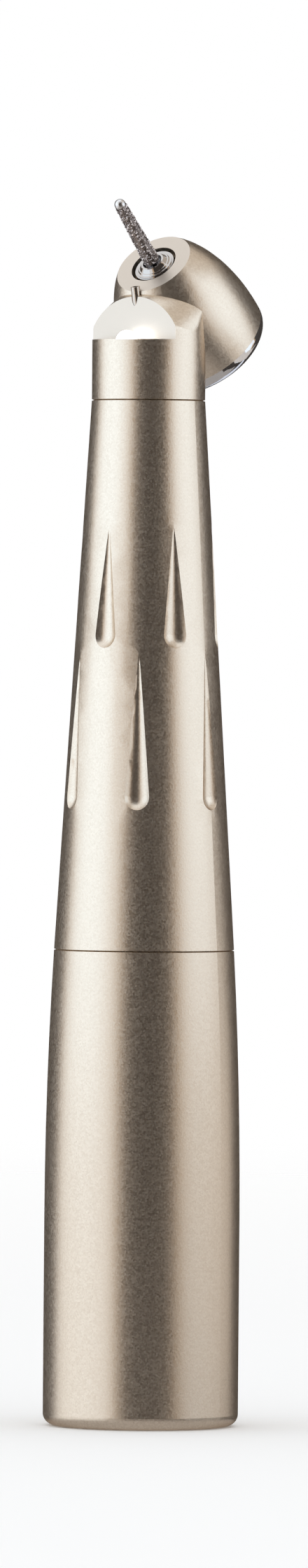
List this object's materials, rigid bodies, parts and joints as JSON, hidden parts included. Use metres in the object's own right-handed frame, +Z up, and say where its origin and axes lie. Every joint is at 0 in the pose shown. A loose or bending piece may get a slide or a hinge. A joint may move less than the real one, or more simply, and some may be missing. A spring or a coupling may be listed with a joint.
{
  "type": "high speed dental handpiece",
  "caption": "Upright air turbine dental handpiece with a 45 degree angled head, push-button chuck, diamond bur, lit ledge and grip-fluted metal handle.",
  "frame": {"origin": "centre of the tail's flat end face, on the handle's axis", "axes": "+Z up the handle from the tail to the head, the bur leans towards -Y, +X to the side, so the YZ plane is the plane of symmetry of the outside"},
  "size_m": [0.0159, 0.019, 0.0997],
  "materials": {
    "titanium": "satin blasted, warm champagne tint",
    "polished_steel": "mirror polished",
    "spring_steel": "bright drawn",
    "bearing_steel": "ground",
    "ceramic_balls": "polished silicon nitride",
    "cage_resin": "machined phenolic",
    "seal_rubber": "moulded nitrile",
    "impeller_alloy": "milled",
    "diamond_grit": "coarse nickel-bonded diamond grit",
    "lit_glass": "clear glass, lit white",
    "guide_glass": "fused glass rod",
    "brass_fitting": "turned",
    "tube_steel": "turned and drawn stainless steel"
  },
  "bodies": {
    "handle": {"head_housing": "titanium", "front_sleeve": "titanium", "rear_sleeve": "titanium", "back_cap": "polished_steel", "button_spring": "spring_steel", "bearing_washer": "spring_steel", "front_bearing_outer_race": "bearing_steel", "front_bearing_o_ring": "seal_rubber", "rear_bearing_outer_race": "bearing_steel", "rear_bearing_o_ring": "seal_rubber", "spray_nozzle": "polished_steel", "light_window": "lit_glass", "light_guide": "guide_glass", "neck_manifold": "brass_fitting", "drive_air_tube": "tube_steel", "water_tube": "tube_steel", "chip_air_tube": "tube_steel", "neck_o_ring": "seal_rubber", "joint_ring": "brass_fitting", "joint_o_ring": "seal_rubber", "coupling_socket": "tube_steel", "socket_nut": "brass_fitting"},
    "rotor": {"spindle": "polished_steel", "impeller": "impeller_alloy", "chuck_collet": "spring_steel", "front_bearing_inner_race": "bearing_steel", "rear_bearing_inner_race": "bearing_steel"},
    "front_ball_set": {"front_bearing_balls": "ceramic_balls", "front_bearing_cage": "cage_resin"},
    "rear_ball_set": {"rear_bearing_balls": "ceramic_balls", "rear_bearing_cage": "cage_resin"},
    "bur": {"bur_shank": "polished_steel", "bur_diamond_head": "diamond_grit"},
    "release_pin": {"chuck_release_pin": "spring_steel"},
    "button": {"push_button": "polished_steel"}
  },
  "joints": [
    {"name": "turbine_spin", "type": "hinge", "parent": "handle", "child": "rotor", "pos_m": [0, 0.00055, 0.0945], "axis": [0, -0.7071, 0.7071], "continuous": true},
    {"name": "front_balls_spin", "type": "hinge", "parent": "handle", "child": "front_ball_set", "pos_m": [0, 0.00055, 0.0945], "axis": [0, -0.7071, 0.7071], "continuous": true},
    {"name": "rear_balls_spin", "type": "hinge", "parent": "handle", "child": "rear_ball_set", "pos_m": [0, 0.00055, 0.0945], "axis": [0, -0.7071, 0.7071], "continuous": true},
    {"name": "bur_pull", "type": "slide", "parent": "rotor", "child": "bur", "axis": [0, -0.7071, 0.7071], "range_m": [0, 0.009]},
    {"name": "button_press", "type": "slide", "parent": "handle", "child": "button", "axis": [0, -0.7071, 0.7071], "range_m": [0, 0.00045], "stiffness_N_per_m": 800, "deforming": ["button_spring"]},
    {"name": "release_pin_slide", "type": "slide", "parent": "rotor", "child": "release_pin", "axis": [0, -0.7071, 0.7071], "range_m": [0, 0.00036]}
  ],
  "couplings": [
    {"joint": "front_balls_spin", "follows": "turbine_spin", "ratio": 0.395},
    {"joint": "rear_balls_spin", "follows": "turbine_spin", "ratio": 0.395},
    {"joint": "release_pin_slide", "follows": "button_press", "ratio": 0.8}
  ]
}
